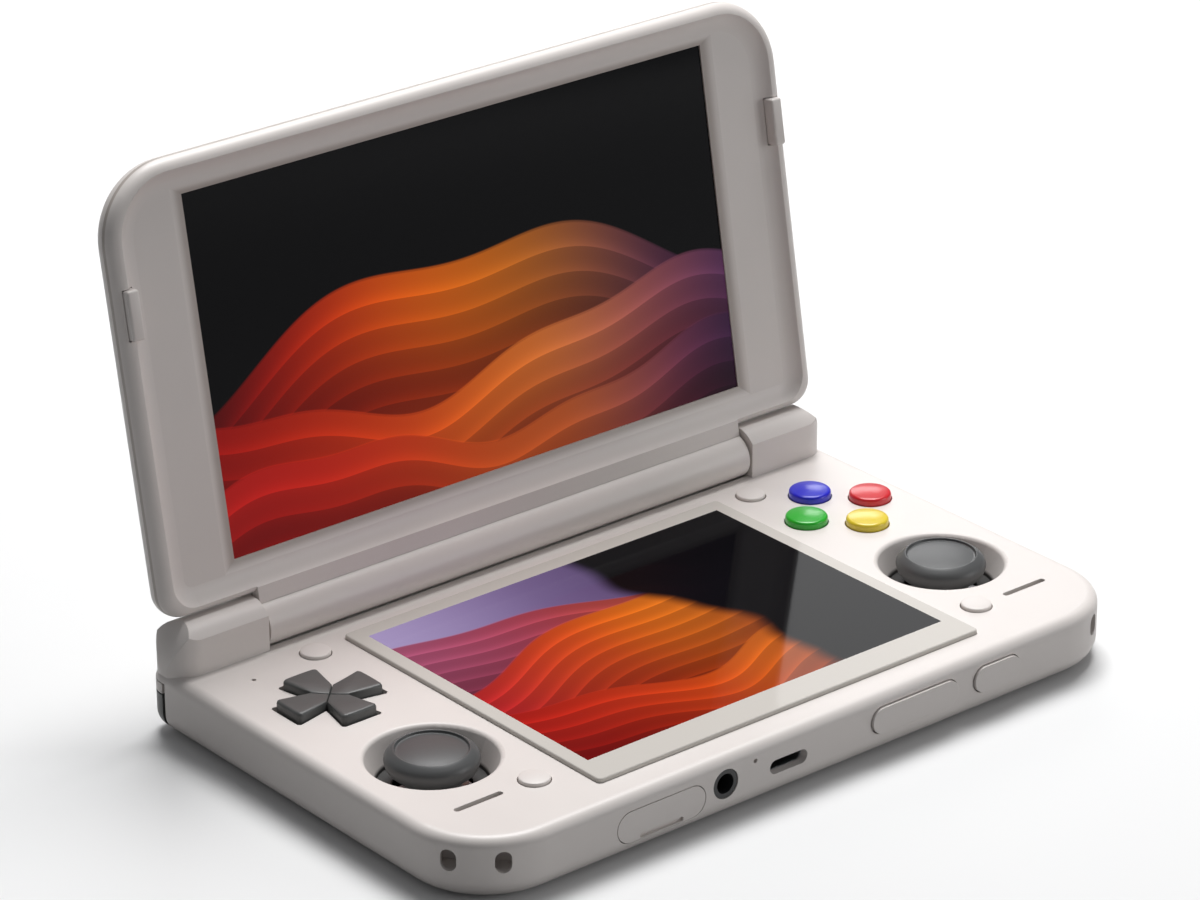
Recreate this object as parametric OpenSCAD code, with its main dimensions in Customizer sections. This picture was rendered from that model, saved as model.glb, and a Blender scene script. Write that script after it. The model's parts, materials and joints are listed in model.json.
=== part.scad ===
// Clamshell handheld game console with two screens, drawn with its lid open.
// Origin: centre of the base's flat underside. X to the right, Y to the back, Z up. Millimetres.

/* [Base] */
// Width of the base
body_w = 149; // [147:0.5:153]
// Depth of the base, front to back
body_d = 90; // [89.5:0.5:93]
// Height of the base from its underside to the deck
base_h = 11.3; // [11.2:0.1:12.5]
// Wall of the plastic shells
wall = 1.6; // [1.4:0.1:1.8]
// Radius of the two front corners, seen from above
front_corner_r = 15.4; // [13:0.2:17]
// Radius of the two back corners, seen from above
back_corner_r = 4; // [3.7:0.1:5]
// Radius of the edge round the deck
top_edge_r = 2; // [1.5:0.1:2.4]
// Radius of the edge round the underside
bottom_edge_r = 3.4; // [2.5:0.1:3.6]
// Thickness of the bottom cover
cover_t = 1.8; // [1.6:0.1:2]
// Height of the rubber feet below the underside
foot_h = 0.6; // [0.4:0.1:1]

/* [Lid] */
// Angle between lid and deck in the drawn pose
lid_open = 100; // [90:1:120]
// Distance from the sides of the base to the sides of the lid
lid_inset = 0.5; // [0.1:0.1:1.5]
// Distance from the hinge axis to the lid's far edge
lid_reach = 84.4; // [83.8:0.1:84.9]
// Distance from the hinge axis to the lid's lower edge beside the barrel
lid_low = 5.7; // [5.65:0.05:6]
// Height of the rim's crest in front of the hinge axis
rim_n = 1.85; // [1.7:0.05:2.1]
// Depth of the lid's back behind the hinge axis
back_n = 5.1; // [5:0.1:5.8]
// Radius of the lid's two far corners
lid_corner_r = 13.3; // [11.3:0.5:15.3]
// Radius of the lid's two lower corners
lid_low_r = 4.7; // [4.6:0.1:6]
// Radius of the lid's back edge
lid_back_r = 4.5; // [3:0.1:4.5]
// Radius of the rim's outer front edge
lid_rim_r = 2.2; // [1.2:0.1:2.4]
// Distance from the lid's sides to the rim's crest
rim_w = 2.4; // [2.2:0.1:2.8]
// Distance from the lid's far edge to the rim's crest
rim_far_w = 2; // [1.8:0.1:2.4]
// Radius of the hollow curve from the rim down to the bezel
cove_r = 4.4; // [3.8:0.1:4.4]
// Height of the chin's crest above the hinge axis
chin_top = 6.9; // [6.6:0.1:7.2]
// Skin of the lid's back
lid_skin = 1.4; // [1.2:0.1:1.6]

/* [Hinge] */
// Distance from the base's back face to the hinge axis
hinge_in = 5.4; // [5.3:0.1:5.7]
// Height of the hinge axis above the deck
hinge_up = 3.5; // [3.4:0.1:3.7]
// Radius of the lid's hinge barrel
barrel_r = 4.2; // [4:0.1:4.2]
// Length of each knuckle at the ends of the barrel
knuckle_l = 19.2; // [18.5:0.1:21]
// Wall of the hinge barrel
barrel_wall = 1.3; // [1.1:0.1:1.4]
// Gap between the barrel's ends and the knuckles
knuckle_gap = 0.5; // [0.4:0.1:0.8]
// Distance from the base's back face to the front of the knuckles
knuckle_d = 9.7; // [9.5:0.1:10.1]
// Radius of the knuckles about the hinge axis
knuckle_r = 5.35; // [5.2:0.05:5.4]
// Radius of the knuckles' outer end, seen from the front
knuckle_end_r = 12; // [10:0.5:14]
// Radius of the knuckles' outer front corner, seen from above
knuckle_corner_r = 4.8; // [4:0.1:4.8]
// Radius of the hinge pins
pin_r = 1.5; // [1.2:0.1:1.6]
// Radius of the friction packs round the hinge pins
pack_r = 2.6; // [2.3:0.1:2.6]

/* [Screens] */
// Distance from the sides of the base to the lower glass
low_glass_side = 31.8; // [31.5:0.1:32.5]
// Distance from the base's back face to the lower glass
low_glass_back = 14; // [13.8:0.1:15.7]
// Distance from the base's front face to the lower glass
low_glass_in = 6.3; // [6.2:0.1:7]
// Height of the lower glass above the deck
low_glass_proud = 0.8; // [0.4:0.1:0.9]
// Thickness of the lower glass
low_glass_t = 1.2; // [1.1:0.1:1.4]
// Distance from the glass's sides to the lower picture
low_view_side = 2.85; // [2.7:0.05:3.7]
// Distance from the glass's back edge to the lower picture
low_view_back = 3.45; // [3.2:0.05:5.2]
// Distance from the glass's front edge to the lower picture
low_view_in = 6.45; // [6:0.05:7]
// Distance from the lid's sides to the upper picture
up_view_side = 16.6; // [16:0.1:18]
// Distance from the lid's far edge to the upper picture
up_view_far = 7; // [6.8:0.1:9]
// Distance from the hinge axis to the upper picture
up_view_in = 12.4; // [12.2:0.1:12.6]
// Width of the sloped frame round the upper picture
slope_w = 2.5; // [2:0.1:2.6]
// Thickness of each display panel
panel_t = 1.5; // [1.2:0.1:1.6]

/* [Controls] */
// Distance from the side of the base to the sticks' centres
stick_in = 16.9; // [16.5:0.1:17.5]
// Distance from the front of the base to the sticks' centres
stick_back = 31.7; // [31:0.1:33]
// Radius of the stick wells at the deck
well_r = 11.5; // [11.3:0.1:12]
// Radius of the stick wells at their foot
well_foot_r = 9.5; // [9.3:0.1:9.8]
// Depth of the stick wells
well_depth = 5.2; // [5:0.1:5.2]
// Radius of the stick caps
cap_r = 8.1; // [7.5:0.1:8.2]
// Distance from the side of the base to the direction pad's centre
pad_in = 15.9; // [15.6:0.1:16.6]
// Distance from the front of the base to the direction pad's centre
pad_back = 58.6; // [58:0.1:59]
// Length of the direction pad across its arms
pad_l = 17.9; // [17:0.1:18.8]
// Width of the direction pad's arms at their tips
pad_arm_w = 7.2; // [6:0.1:7.4]
// Half width of the direction pad's arms at the notches between them
pad_notch = 2.2; // [2:0.1:2.6]
// Height of the direction pad above the deck
pad_proud = 1.75; // [1.5:0.05:2.2]
// Distance from the side of the base to the button cluster's centre
cluster_in = 16.3; // [15.9:0.1:16.8]
// Distance from the front of the base to the button cluster's centre
cluster_back = 59.7; // [59.3:0.1:60.1]
// Distance from the cluster's centre to each face button
cluster_r = 7.83; // [7.6:0.01:8]
// Radius of the face buttons
face_r = 3.9; // [3.6:0.1:4.1]
// Height of the face buttons' rims above the deck
face_proud = 1.15; // [0.9:0.05:1.6]
// Radius of the four small buttons
menu_r = 2.7; // [2.5:0.05:3]
// Height of the small buttons above the deck
menu_proud = 0.55; // [0.3:0.05:0.7]
// Distance from the side of the base to the small buttons
menu_in = 24.7; // [24.5:0.1:25.1]
// Distance from the front of the base to the two back small buttons
menu_far = 74.5; // [74:0.1:74.8]
// Distance from the front of the base to the two front small buttons
menu_near = 14.4; // [14:0.1:15]
// Gap round each button in its hole
button_gap = 0.2; // [0.15:0.05:0.25]

/* [Front edge] */
// Centre of the card door, along X
card_x = -34.65; // [-35.2:0.05:-34]
// Height of the card door's centre below the deck
card_down = 5.9; // [5.7:0.1:6]
// Width of the card door
card_w = 19.1; // [18:0.1:19.6]
// Height of the card door
card_h = 6; // [5.6:0.1:6.2]
// Centre of the headphone jack, along X
jack_x = -20.8; // [-21:0.1:-20]
// Height of the jack's centre below the deck
jack_down = 5; // [4.9:0.1:5.2]
// Radius of the jack's plug bore
jack_bore_r = 1.8; // [1.78:0.01:1.85]
// Radius of the jack's collar in the front wall
jack_r = 2.6; // [2.5:0.05:2.7]
// Centre of the charging port, along X
usb_x = -6.9; // [-7.5:0.1:-6]
// Height of the charging port's centre below the deck
usb_down = 5.6; // [5.5:0.1:5.7]
// Width of the charging port's opening
usb_w = 8.34; // [8.3:0.01:8.4]
// Height of the charging port's opening
usb_h = 2.6; // [2.56:0.01:2.7]
// Centre of the volume rocker, along X
volume_x = 21.8; // [21:0.1:22.2]
// Width of the volume rocker
volume_w = 20.2; // [18:0.1:20.4]
// Centre of the power button, along X
power_x = 41.1; // [40.6:0.1:41.4]
// Width of the power button
power_w = 11.2; // [10:0.1:11.4]
// Height of the volume rocker and power button
side_key_h = 5.2; // [4.6:0.1:5.2]
// Height of their centre below the deck
side_key_down = 4.8; // [4.8:0.05:5]
// How far they stand out of the front face
side_key_proud = 0.5; // [0.3:0.1:0.7]
// Height of each lanyard opening
lanyard_h = 3.9; // [3.3:0.1:3.9]
// Height of the lanyard openings' centre below the deck
lanyard_down = 4.2; // [4.1:0.1:4.4]
// Width of each lanyard opening
lanyard_w = 2.8; // [2.2:0.1:3]
// Angle of each lanyard opening away from the corner's diagonal
lanyard_turn = 17; // [16:0.5:19]

/* [Shoulder buttons] */
// Distance from the centre of the base to the shoulder buttons' inner end
shoulder_from = 48.5; // [48.3:0.1:49]
// Length of the shoulder pocket, from the base's back face forwards
pocket_l = 5.3; // [5.1:0.1:5.4]
// Gap in front of the shoulder buttons, which they close when pressed
shoulder_gap = 0.8; // [0.75:0.05:0.9]
// Height of the gap between trigger and bumper above the underside
shoulder_split = 7; // [6.8:0.1:7]
// Thickness of the bumpers
bumper_t = 1.9; // [1.7:0.1:1.9]
// Radius of the shoulder buttons' pivot pins
shoulder_pin_r = 0.75; // [0.6:0.05:0.8]

/* [Hidden] */
$fn = 48;

over = 1;
half_w = body_w / 2;
half_d = body_d / 2;
lid_half = half_w - lid_inset;
deck = base_h;
ceiling = deck - wall;
back_ceiling = deck - 2.6;
back_step_y = half_d - 11.5;
hinge_y = half_d - hinge_in;
hinge_z = deck + hinge_up;
fit = 0.05;
seat = 0.1;
play = 0.2;

stick_x = half_w - stick_in;
stick_y = stick_back - half_d;
pad_x = half_w - pad_in;
pad_y = pad_back - half_d;
cluster_x = half_w - cluster_in;
cluster_y = cluster_back - half_d;
menu_x = half_w - menu_in;
menu_far_y = menu_far - half_d;
menu_near_y = menu_near - half_d;

// Screens
low_glass_w = body_w - 2 * low_glass_side;
low_glass_d = body_d - low_glass_in - low_glass_back;
low_view_w = low_glass_w - 2 * low_view_side;
low_view_d = low_glass_d - low_view_in - low_view_back;
up_view_w = 2 * (lid_half - up_view_side);
up_view_h = lid_reach - up_view_in - up_view_far;

// Trough in the base for the lid's barrel, and the lowered back edge behind it
trough_gap = 0.4;
ledge_z = deck - 0.9;
knuckle_x = half_w - knuckle_l;
barrel_half = knuckle_x - knuckle_gap;
knuckle_front = half_d - knuckle_d;
knuckle_inset = 0.4;

// Boards and the switches on them, measured down from the deck
flange_top = 1.8;
flange_t = 0.9;
key_travel = 1.2;
menu_travel = 0.4;
board_t = 0.8;
button_board_top = deck - 6.2;
membrane_t = 0.8;
dome_h = 0.6;
io_board_top = deck - usb_down - usb_h / 2 - 0.35;
front_in_y = wall - half_d;

// Stick module
stick_pivot_z = deck - 6.4;
stick_box = 16;
stick_box_h = 3.6;
stick_floor = 0.5;
well_floor = 0.4;
lip_r = 0.9;
well_hole_r = 6.8;
stick_wall = 1.4;
yoke_x = 5.6;
yoke_y = 3.4;
yoke_half_t = 0.85;
yoke_pin_r = 0.8;
gimbal_x = 2.9;
gimbal_y = 1.9;
gimbal_pin_r = 0.5;
shaft_r = 1;
shaft_down = 1.6;
cap_hub_r = 2.6;
cap_hub_up = 1.8;

// Fan, heat sink and boards
fan_side = 31;
board_gap = 1.9;
board_reach = 6.4;
fan_x = board_gap + fan_side / 2 - menu_x + board_reach;
fan_y = half_d - 28;
board_x0 = fan_x + fan_side / 2 + 3;
board_x1 = menu_x - board_reach - 0.4;
board_y0 = half_d - 43;
fan_r = 11.5;
fan_low = 2.2;
fan_high = 7.6;
fan_skin = 0.8;
fan_axle_r = 0.8;
fan_blades = 11;
fin_count = 11;
fin_pitch = 2.8;
fin_t = 0.5;

// Screws that hold the bottom cover
screw_r = 0.8;
screw_head_r = 1.8;
boss_r = 2.4;
screw_points = [
  [half_w - 4.5, -1.5], [card_w / 2 - card_x + 0.6, 6 - half_d], [menu_x - 5, half_d - 10.4]
];
foot_points = [[half_w - 13.5, 14 - half_d], [half_w - 13.5, half_d - 18]];

// Shoulder pocket
pocket_low = 0.8;
pocket_high = deck - 1.9;
pocket_y = half_d - pocket_l;
shoulder_pin_x = shoulder_from + 2.3;
shoulder_pin_y = half_d - 2.4;
bracket_y = pocket_y - wall - 1.2;
split_gap = 0.3;
switch_x = half_w - 6.5;

// Lid, in its own frame: X along the hinge axis, Y up the lid, Z towards its front
bezel_n = 0.2;
seam_n = bezel_n - 0.9;
lip_n = bezel_n - 0.35;
up_glass_n = bezel_n - 0.65;
up_glass_t = 1;
up_panel_low = up_glass_n - up_glass_t - panel_t;
cove_h = rim_n - bezel_n;
cove_w = sqrt(cove_h * (2 * cove_r - cove_h));
bumper_far = 19.9;
bumper_l = 8.8;
chin_r = 4.4;

plastic = [0.84, 0.81, 0.79];
dark_key = [0.3, 0.31, 0.3];
stick_grey = [0.27, 0.28, 0.28];
rubber_tone = [0.2, 0.2, 0.2];
glass_tone = [0.1, 0.1, 0.12];
board_green = [0.1, 0.35, 0.2];
steel = [0.7, 0.7, 0.72];

module both_sides() {
  children();
  mirror([1, 0, 0]) children();
}

module on_lid() {
  translate([0, hinge_y, hinge_z]) rotate([180 - lid_open, 0, 0]) children();
}

// Section of a rounded edge: width w outwards, height h, radius at the top and at the bottom
module edge_section(w, h, r_top, r_low) {
  difference() {
    square([w, h]);
    translate([w - r_top, h - r_top]) difference() {
      square(r_top + over);
      circle(r_top);
    }
    translate([w - r_low, r_low]) mirror([0, 1]) difference() {
      square(r_low + over);
      circle(r_low);
    }
  }
}

// Rounded rectangle with its own radius for the two near and the two far corners
module rounded_plan(x0, x1, y0, y1, r_near, r_far) {
  translate([x0, y0 + r_near]) square([x1 - x0, y1 - r_far - y0 - r_near]);
  translate([x0 + r_near, y0]) square([x1 - x0 - 2 * r_near, r_near + over]);
  translate([x0 + r_far, y1 - r_far - over]) square([x1 - x0 - 2 * r_far, r_far + over]);
  for (x = [x0 + r_near, x1 - r_near]) translate([x, y0 + r_near]) circle(r_near);
  for (x = [x0 + r_far, x1 - r_far]) translate([x, y1 - r_far]) circle(r_far);
}

module edge_run(l, w, h, r_top, r_low) {
  rotate([90, 0, 90]) linear_extrude(l) mirror([1, 0]) edge_section(w, h, r_top, r_low);
}

module edge_corner(r, w, h, r_top, r_low) {
  rotate_extrude(angle = 90) translate([r - w, 0]) edge_section(w, h, r_top, r_low);
}

// Slab with rounded corners whose upper and lower edges are rounded all round
module slab(x0, x1, y0, y1, h, r_near, r_far, r_top, r_low) {
  w = max(r_top, r_low);
  linear_extrude(h) rounded_plan(x0 + w, x1 - w, y0 + w, y1 - w, r_near - w, r_far - w);
  translate([x0 + r_near, y0 + w, 0]) edge_run(x1 - x0 - 2 * r_near, w, h, r_top, r_low);
  translate([x1 - w, y0 + r_near, 0]) rotate(90)
    edge_run(y1 - r_far - y0 - r_near, w, h, r_top, r_low);
  translate([x1 - r_far, y1 - w, 0]) rotate(180)
    edge_run(x1 - x0 - 2 * r_far, w, h, r_top, r_low);
  translate([x0 + w, y1 - r_far, 0]) rotate(270)
    edge_run(y1 - r_far - y0 - r_near, w, h, r_top, r_low);
  translate([x1 - r_near, y0 + r_near, 0]) rotate(270) edge_corner(r_near, w, h, r_top, r_low);
  translate([x0 + r_near, y0 + r_near, 0]) rotate(180) edge_corner(r_near, w, h, r_top, r_low);
  translate([x1 - r_far, y1 - r_far, 0]) edge_corner(r_far, w, h, r_top, r_low);
  translate([x0 + r_far, y1 - r_far, 0]) rotate(90) edge_corner(r_far, w, h, r_top, r_low);
}

module pill(w, h) {
  translate([-(w - h) / 2, -h / 2]) square([w - h, h]);
  for (x = [-(w - h) / 2, (w - h) / 2]) translate([x, 0]) circle(h / 2);
}

// Pill in the front edge, from y0 back to y1
module front_pill(x, z, w, h, y0, y1) {
  translate([x, y1, z]) rotate([90, 0, 0]) linear_extrude(y1 - y0) pill(w, h);
}

// Rounded plate between two heights
module plate(x0, x1, y0, y1, z0, z1, r) {
  translate([0, 0, z0]) linear_extrude(z1 - z0) rounded_plan(x0, x1, y0, y1, r, r);
}

module box(x0, x1, y0, y1, z0, z1) {
  translate([x0, y0, z0]) cube([x1 - x0, y1 - y0, z1 - z0]);
}

module post(x, y, z0, z1, r) {
  translate([x, y, z0]) cylinder(h = z1 - z0, r = r);
}

module bar_x(x0, x1, y, z, r) {
  translate([x0, y, z]) rotate([0, 90, 0]) cylinder(h = x1 - x0, r = r);
}

module bar_y(x, y0, y1, z, r) {
  translate([x, y1, z]) rotate([90, 0, 0]) cylinder(h = y1 - y0, r = r);
}

module base_slab() {
  slab(-half_w, half_w, -half_d, half_d, deck, front_corner_r, back_corner_r, top_edge_r,
    bottom_edge_r);
}

module base_cavity() {
  difference() {
    translate([0, 0, -over]) linear_extrude(ceiling + over)
      rounded_plan(wall - half_w, half_w - wall, wall - half_d, half_d - wall, front_corner_r - wall,
        back_corner_r - wall);
    box(-half_w, half_w, back_step_y, half_d, back_ceiling, deck);
  }
}

module knuckle() {
  end_x = half_w - knuckle_inset - knuckle_end_r;
  high = hinge_z + 2 * knuckle_r;
  intersection() {
    union() {
      bar_x(knuckle_x, half_w, hinge_y, hinge_z, knuckle_r);
      box(knuckle_x, half_w, hinge_y - knuckle_r, hinge_y + knuckle_r, pocket_high, hinge_z);
    }
    translate([0, half_d + over, 0]) rotate([90, 0, 0]) linear_extrude(2 * knuckle_d) {
      square([end_x, high]);
      translate([end_x, deck]) circle(knuckle_end_r);
    }
    translate([0, 0, pocket_high]) linear_extrude(high)
      rounded_plan(-half_w, half_w - knuckle_inset, knuckle_front, half_d, knuckle_corner_r,
        back_corner_r);
  }
}

// Solid corner round the lanyard channel, then the channel itself
module lanyard_block() {
  intersection() {
    translate([half_w - front_corner_r, front_corner_r - half_d, 0]) rotate(-45)
      box(front_corner_r - wall - 4.4, front_corner_r, -7.8, 7.8, cover_t, ceiling + play);
    plate(0, half_w - 0.8, 0.8 - half_d, 0, 0, deck, front_corner_r - 0.8);
  }
}

module lanyard_channel() {
  reach = front_corner_r * sin(lanyard_turn) + lanyard_w / 2;
  translate([half_w - front_corner_r, front_corner_r - half_d, deck - lanyard_down]) {
    rotate(-45) box(front_corner_r - wall - 3.2, front_corner_r - wall, -reach, reach, -lanyard_h / 2,
      lanyard_h / 2);
    for (turn = [-lanyard_turn, lanyard_turn]) rotate(turn - 45)
      translate([front_corner_r - wall - 2, 0, 0]) rotate([90, 0, 90]) linear_extrude(wall + 2 + over)
        rotate(90) pill(lanyard_h, lanyard_w);
  }
}

module pocket_walls() {
  box(shoulder_from - wall, half_w - 0.8, pocket_y - wall, pocket_y + play, cover_t, back_ceiling + play);
  box(shoulder_from - wall, shoulder_from, pocket_y - wall, half_d - 0.8, cover_t, back_ceiling + play);
}

module shoulder_pocket() {
  box(shoulder_from, half_w + over, pocket_y, half_d + over, pocket_low, pocket_high);
}

module stick_places() {
  for (x = [-stick_x, stick_x]) translate([x, stick_y, 0]) children();
}

module menu_places() {
  for (x = [-menu_x, menu_x], y = [menu_near_y, menu_far_y]) translate([x, y, 0]) children();
}

module face_places() {
  for (turn = [0:90:270]) translate([cluster_x, cluster_y, 0]) rotate(turn)
    translate([cluster_r, 0, 0]) children();
}

// Four arms that widen from the notches between them to their tips
module pad_cross(grow) {
  notch = pad_notch + grow;
  w = pad_arm_w / 2 + grow;
  l = pad_l / 2 + grow;
  for (turn = [0:90:270]) rotate(turn)
    polygon([
      [-1, 0], [notch, -notch], [l - 0.5, -w], [l, 0.4 - w], [l, w - 0.4], [l - 0.5, w], [notch, notch]
    ]);
}

// Steep cone with a rounded lip at the deck
module well_hollow() {
  lean = atan2(well_r - well_foot_r, well_depth);
  lip_x = well_r + lip_r * (1 / cos(lean) - tan(lean));
  translate([0, 0, deck]) rotate_extrude() difference() {
    polygon([
      [0, -well_depth], [well_foot_r, -well_depth],
      [lip_x - lip_r * cos(lean), lip_r * (sin(lean) - 1)], [lip_x, -lip_r], [lip_x, over], [0, over]
    ]);
    translate([lip_x, -lip_r]) circle(lip_r);
  }
}

module low_view_cut(grow, z0, z1) {
  y = low_glass_in + low_view_in - half_d;
  box(-low_view_w / 2 - grow, low_view_w / 2 + grow, y - grow - 1, y + low_view_d + grow, z0, z1);
}

module board_posts() {
  both_sides() {
    post(half_w - 3.4, pad_y + 14.2, button_board_top, ceiling + play, 1.3);
    post(half_w - 3.4, pad_y - 8.8, button_board_top, ceiling + play, 1.3);
    post(menu_x - 4.6, pad_y + 7, button_board_top, ceiling + play, 1.2);
    post(half_w - 24, front_in_y + 5.4, io_board_top, ceiling + play, 1);
  }
  for (x = [0, 34.8]) post(x, front_in_y + 7.4, io_board_top, ceiling + play, 1);
}

module base_cuts() {
  // Lower glass in its recess, and the display behind it
  plate(-low_glass_w / 2 - seat, low_glass_w / 2 + seat, low_glass_in - half_d - seat,
    low_glass_in + low_glass_d - half_d + seat, deck + low_glass_proud - low_glass_t, deck + over, 1);
  low_view_cut(1.4, back_ceiling, deck);
  // Stick wells
  stick_places() well_hollow();
  stick_places() post(0, 0, stick_pivot_z, deck, well_hole_r);
  // Buttons and direction pad
  menu_places() post(0, 0, back_ceiling, deck + over, menu_r + button_gap);
  face_places() post(0, 0, back_ceiling, deck + over, face_r + button_gap);
  translate([-pad_x, pad_y, back_ceiling]) linear_extrude(wall + 2 * over) pad_cross(0.5);
  // Speaker slots and microphone holes
  for (x = [stick_x + 3.85, -stick_x - 3.85])
    translate([x, menu_near_y, back_ceiling]) linear_extrude(wall + 2 * over) pill(9.9, 1.2);
  post(-pad_x - 5.3, menu_far_y - 1.4, back_ceiling, deck + over, 0.4);
  bar_y(jack_x + 6.5, -half_d - over, front_in_y + over, deck - 2.9, 0.4);
  // Ports and keys in the front edge
  front_pill(card_x, deck - card_down, card_w, card_h, -half_d - over, 1.3 - half_d);
  front_pill(card_x, deck - card_down, card_w - 1.7, card_h - 1.6, -half_d, front_in_y + over);
  bar_y(jack_x, -half_d - over, front_in_y + over, deck - jack_down, jack_r + seat);
  front_pill(usb_x, deck - usb_down, usb_w, usb_h, -half_d - over, front_in_y + over);
  front_pill(volume_x, deck - side_key_down, volume_w, side_key_h, -half_d - over, front_in_y + over);
  front_pill(power_x, deck - side_key_down, power_w, side_key_h, -half_d - over, front_in_y + over);
  both_sides() lanyard_channel();
  // Trough for the barrel and the low edge behind it
  bar_x(-knuckle_x, knuckle_x, hinge_y, hinge_z, barrel_r + trough_gap);
  box(-knuckle_x, knuckle_x, hinge_y, half_d + over, ledge_z, hinge_z);
  // Air outlet in the back wall
  for (i = [0:8]) translate([fan_x + (i - 4) * 3.2, half_d + over, 5]) rotate([90, 0, 0])
    linear_extrude(wall + 2 * over) rotate(90) pill(4.6, 1.8);
  // Screw holes, shoulder pockets, pivot pin seats and switch windows
  for (p = screw_points) both_sides() post(p.x, p.y, 0, ceiling - 2, screw_r + fit);
  both_sides() {
    shoulder_pocket();
    post(shoulder_pin_x, shoulder_pin_y, pocket_low, pocket_high + 0.6, shoulder_pin_r + fit);
    box(switch_x - 2.3, switch_x + 2.3, pocket_y - wall - over, pocket_y + over, 3, back_ceiling - 0.4);
    // Friction pack of the hinge and its bracket
    bar_x(knuckle_x - over, knuckle_x + 12.5, hinge_y, hinge_z, pack_r + seat);
    box(knuckle_x + 1, knuckle_x + 6.7, bracket_y - seat, bracket_y + 1 + seat, back_ceiling - 1,
      hinge_z);
  }
}

module base_top_shell() {
  color(plastic) difference() {
    union() {
      difference() {
        base_slab();
        box(-half_w - over, half_w + over, -half_d - over, half_d + over, -over, cover_t);
        base_cavity();
      }
      stick_places() translate([0, 0, deck - well_depth - well_floor])
        cylinder(h = well_depth + well_floor - wall + play, r1 = well_foot_r + 1, r2 = well_r + 0.9);
      for (p = screw_points) both_sides() post(p.x, p.y, cover_t, back_ceiling + play, boss_r);
      for (p = [screw_points[0], screw_points[1]]) both_sides()
        post(p.x, p.y, back_ceiling, ceiling + play, boss_r);
      board_posts();
      both_sides() {
        lanyard_block();
        pocket_walls();
        knuckle();
      }
    }
    base_cuts();
  }
}

module base_bottom_cover() {
  color(plastic) difference() {
    union() {
      intersection() {
        base_slab();
        box(-half_w, half_w, -half_d, half_d, 0, cover_t);
      }
      for (x = [board_x0 + 3.5, board_x1 - 3], y = [board_y0 + 2.5, half_d - 14.5])
        post(x, y, cover_t - play, 2.9, 1.8);
      for (x = [24.5 - half_w, -8, 8, half_w - 24.5])
        post(x, front_in_y + 3, cover_t - play, io_board_top - board_t, 1.3);
    }
    for (p = screw_points) both_sides() {
      post(p.x, p.y, -over, cover_t + over, screw_r + play);
      post(p.x, p.y, -over, 1.1, screw_head_r + play);
    }
    for (p = foot_points) both_sides() post(p.x, p.y, -over, 0.4, 4 + seat);
    for (i = [0:6]) translate([fan_x + (i - 3) * 3, fan_y, -over])
      linear_extrude(cover_t + 2 * over) rotate(90) pill(18 - abs(i - 3) * 2.4, 1.6);
    both_sides() {
      shoulder_pocket();
      post(shoulder_pin_x, shoulder_pin_y, 0.3, cover_t, shoulder_pin_r + fit);
    }
  }
}

module rubber_feet() {
  color(rubber_tone) for (p = foot_points) both_sides() post(p.x, p.y, -foot_h, 0.4, 4);
}

module cover_screws() {
  color(steel) for (p = screw_points) both_sides() {
    difference() {
      post(p.x, p.y, 0.2, 1.1, screw_head_r);
      box(p.x - 1.2, p.x + 1.2, p.y - 0.2, p.y + 0.2, 0, 0.6);
      box(p.x - 0.2, p.x + 0.2, p.y - 1.2, p.y + 1.2, 0, 0.6);
    }
    post(p.x, p.y, 1.1, 6.4, screw_r);
  }
}

module lower_glass() {
  low = deck + low_glass_proud - low_glass_t;
  color(glass_tone) translate([0, 0, low])
    slab(-low_glass_w / 2, low_glass_w / 2, low_glass_in - half_d, low_glass_in + low_glass_d - half_d,
      low_glass_t, 0.9, 0.9, 0.3, 0.1);
}

module lower_display_panel() {
  top = deck + low_glass_proud - low_glass_t;
  color(glass_tone) low_view_cut(1, top - panel_t, top);
}

// Chip on the mainboard, between two shares of its length
module chip(from, to, y0, y1, h) {
  l = board_x1 - board_x0;
  box(board_x0 + from * l, board_x0 + to * l, y0, y1, 3.7, 3.7 + h);
}

module mainboard() {
  color(board_green) {
    box(board_x0, board_x1, board_y0, half_d - 12, 2.9, 3.7);
    chip(0.19, 0.46, board_y0 + 7, board_y0 + 21, 1.4);
    chip(0.52, 0.76, board_y0 + 8, board_y0 + 19, 1.4);
    chip(0.8, 0.94, board_y0 + 10, board_y0 + 24, 1.1);
    chip(0.05, 0.15, board_y0 + 22, board_y0 + 29, 1);
  }
}

module io_board() {
  low = io_board_top - board_t;
  color(board_green) difference() {
    union() {
      box(22 - half_w, half_w - 22, front_in_y + 2, front_in_y + 10, low, io_board_top);
      box(card_x - 7.4, card_x + 7.4, front_in_y + 9, front_in_y + 14.2, low, io_board_top);
      both_sides() {
        box(menu_x - 4, menu_x + 4, front_in_y + 9, menu_near_y + 3, low, io_board_top);
        box(menu_x - 1.6, menu_x + 1.6, menu_near_y - 1.6, menu_near_y + 1.6, io_board_top - fit,
          deck - 5.6);
      }
      for (x = [volume_x - 6.5, volume_x + 6.5, power_x])
        box(x - 1, x + 1, front_in_y + 3.2, front_in_y + 6, io_board_top - fit, deck - 3.4);
      box(volume_x - 0.8, volume_x + 0.8, front_in_y + 1.6, front_in_y + 4, io_board_top - fit, deck - 3.4);
    }
    for (p = screw_points) both_sides() post(p.x, p.y, low - over, io_board_top + over, boss_r + play);
  }
}

module side_board() {
  low = button_board_top - board_t;
  color(board_green) difference() {
    union() {
      box(menu_x - board_reach, half_w - wall - 0.5, pad_y - 12.4, menu_far_y + 3.6, low, button_board_top);
      box(menu_x - 1.6, menu_x + 1.6, menu_far_y - 1.6, menu_far_y + 1.6, button_board_top - fit,
        deck - 4.9);
    }
    for (p = screw_points) post(p.x, p.y, low - over, button_board_top + over, boss_r + play);
  }
}

module left_button_board() mirror([1, 0, 0]) side_board();
module right_button_board() side_board();

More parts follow.
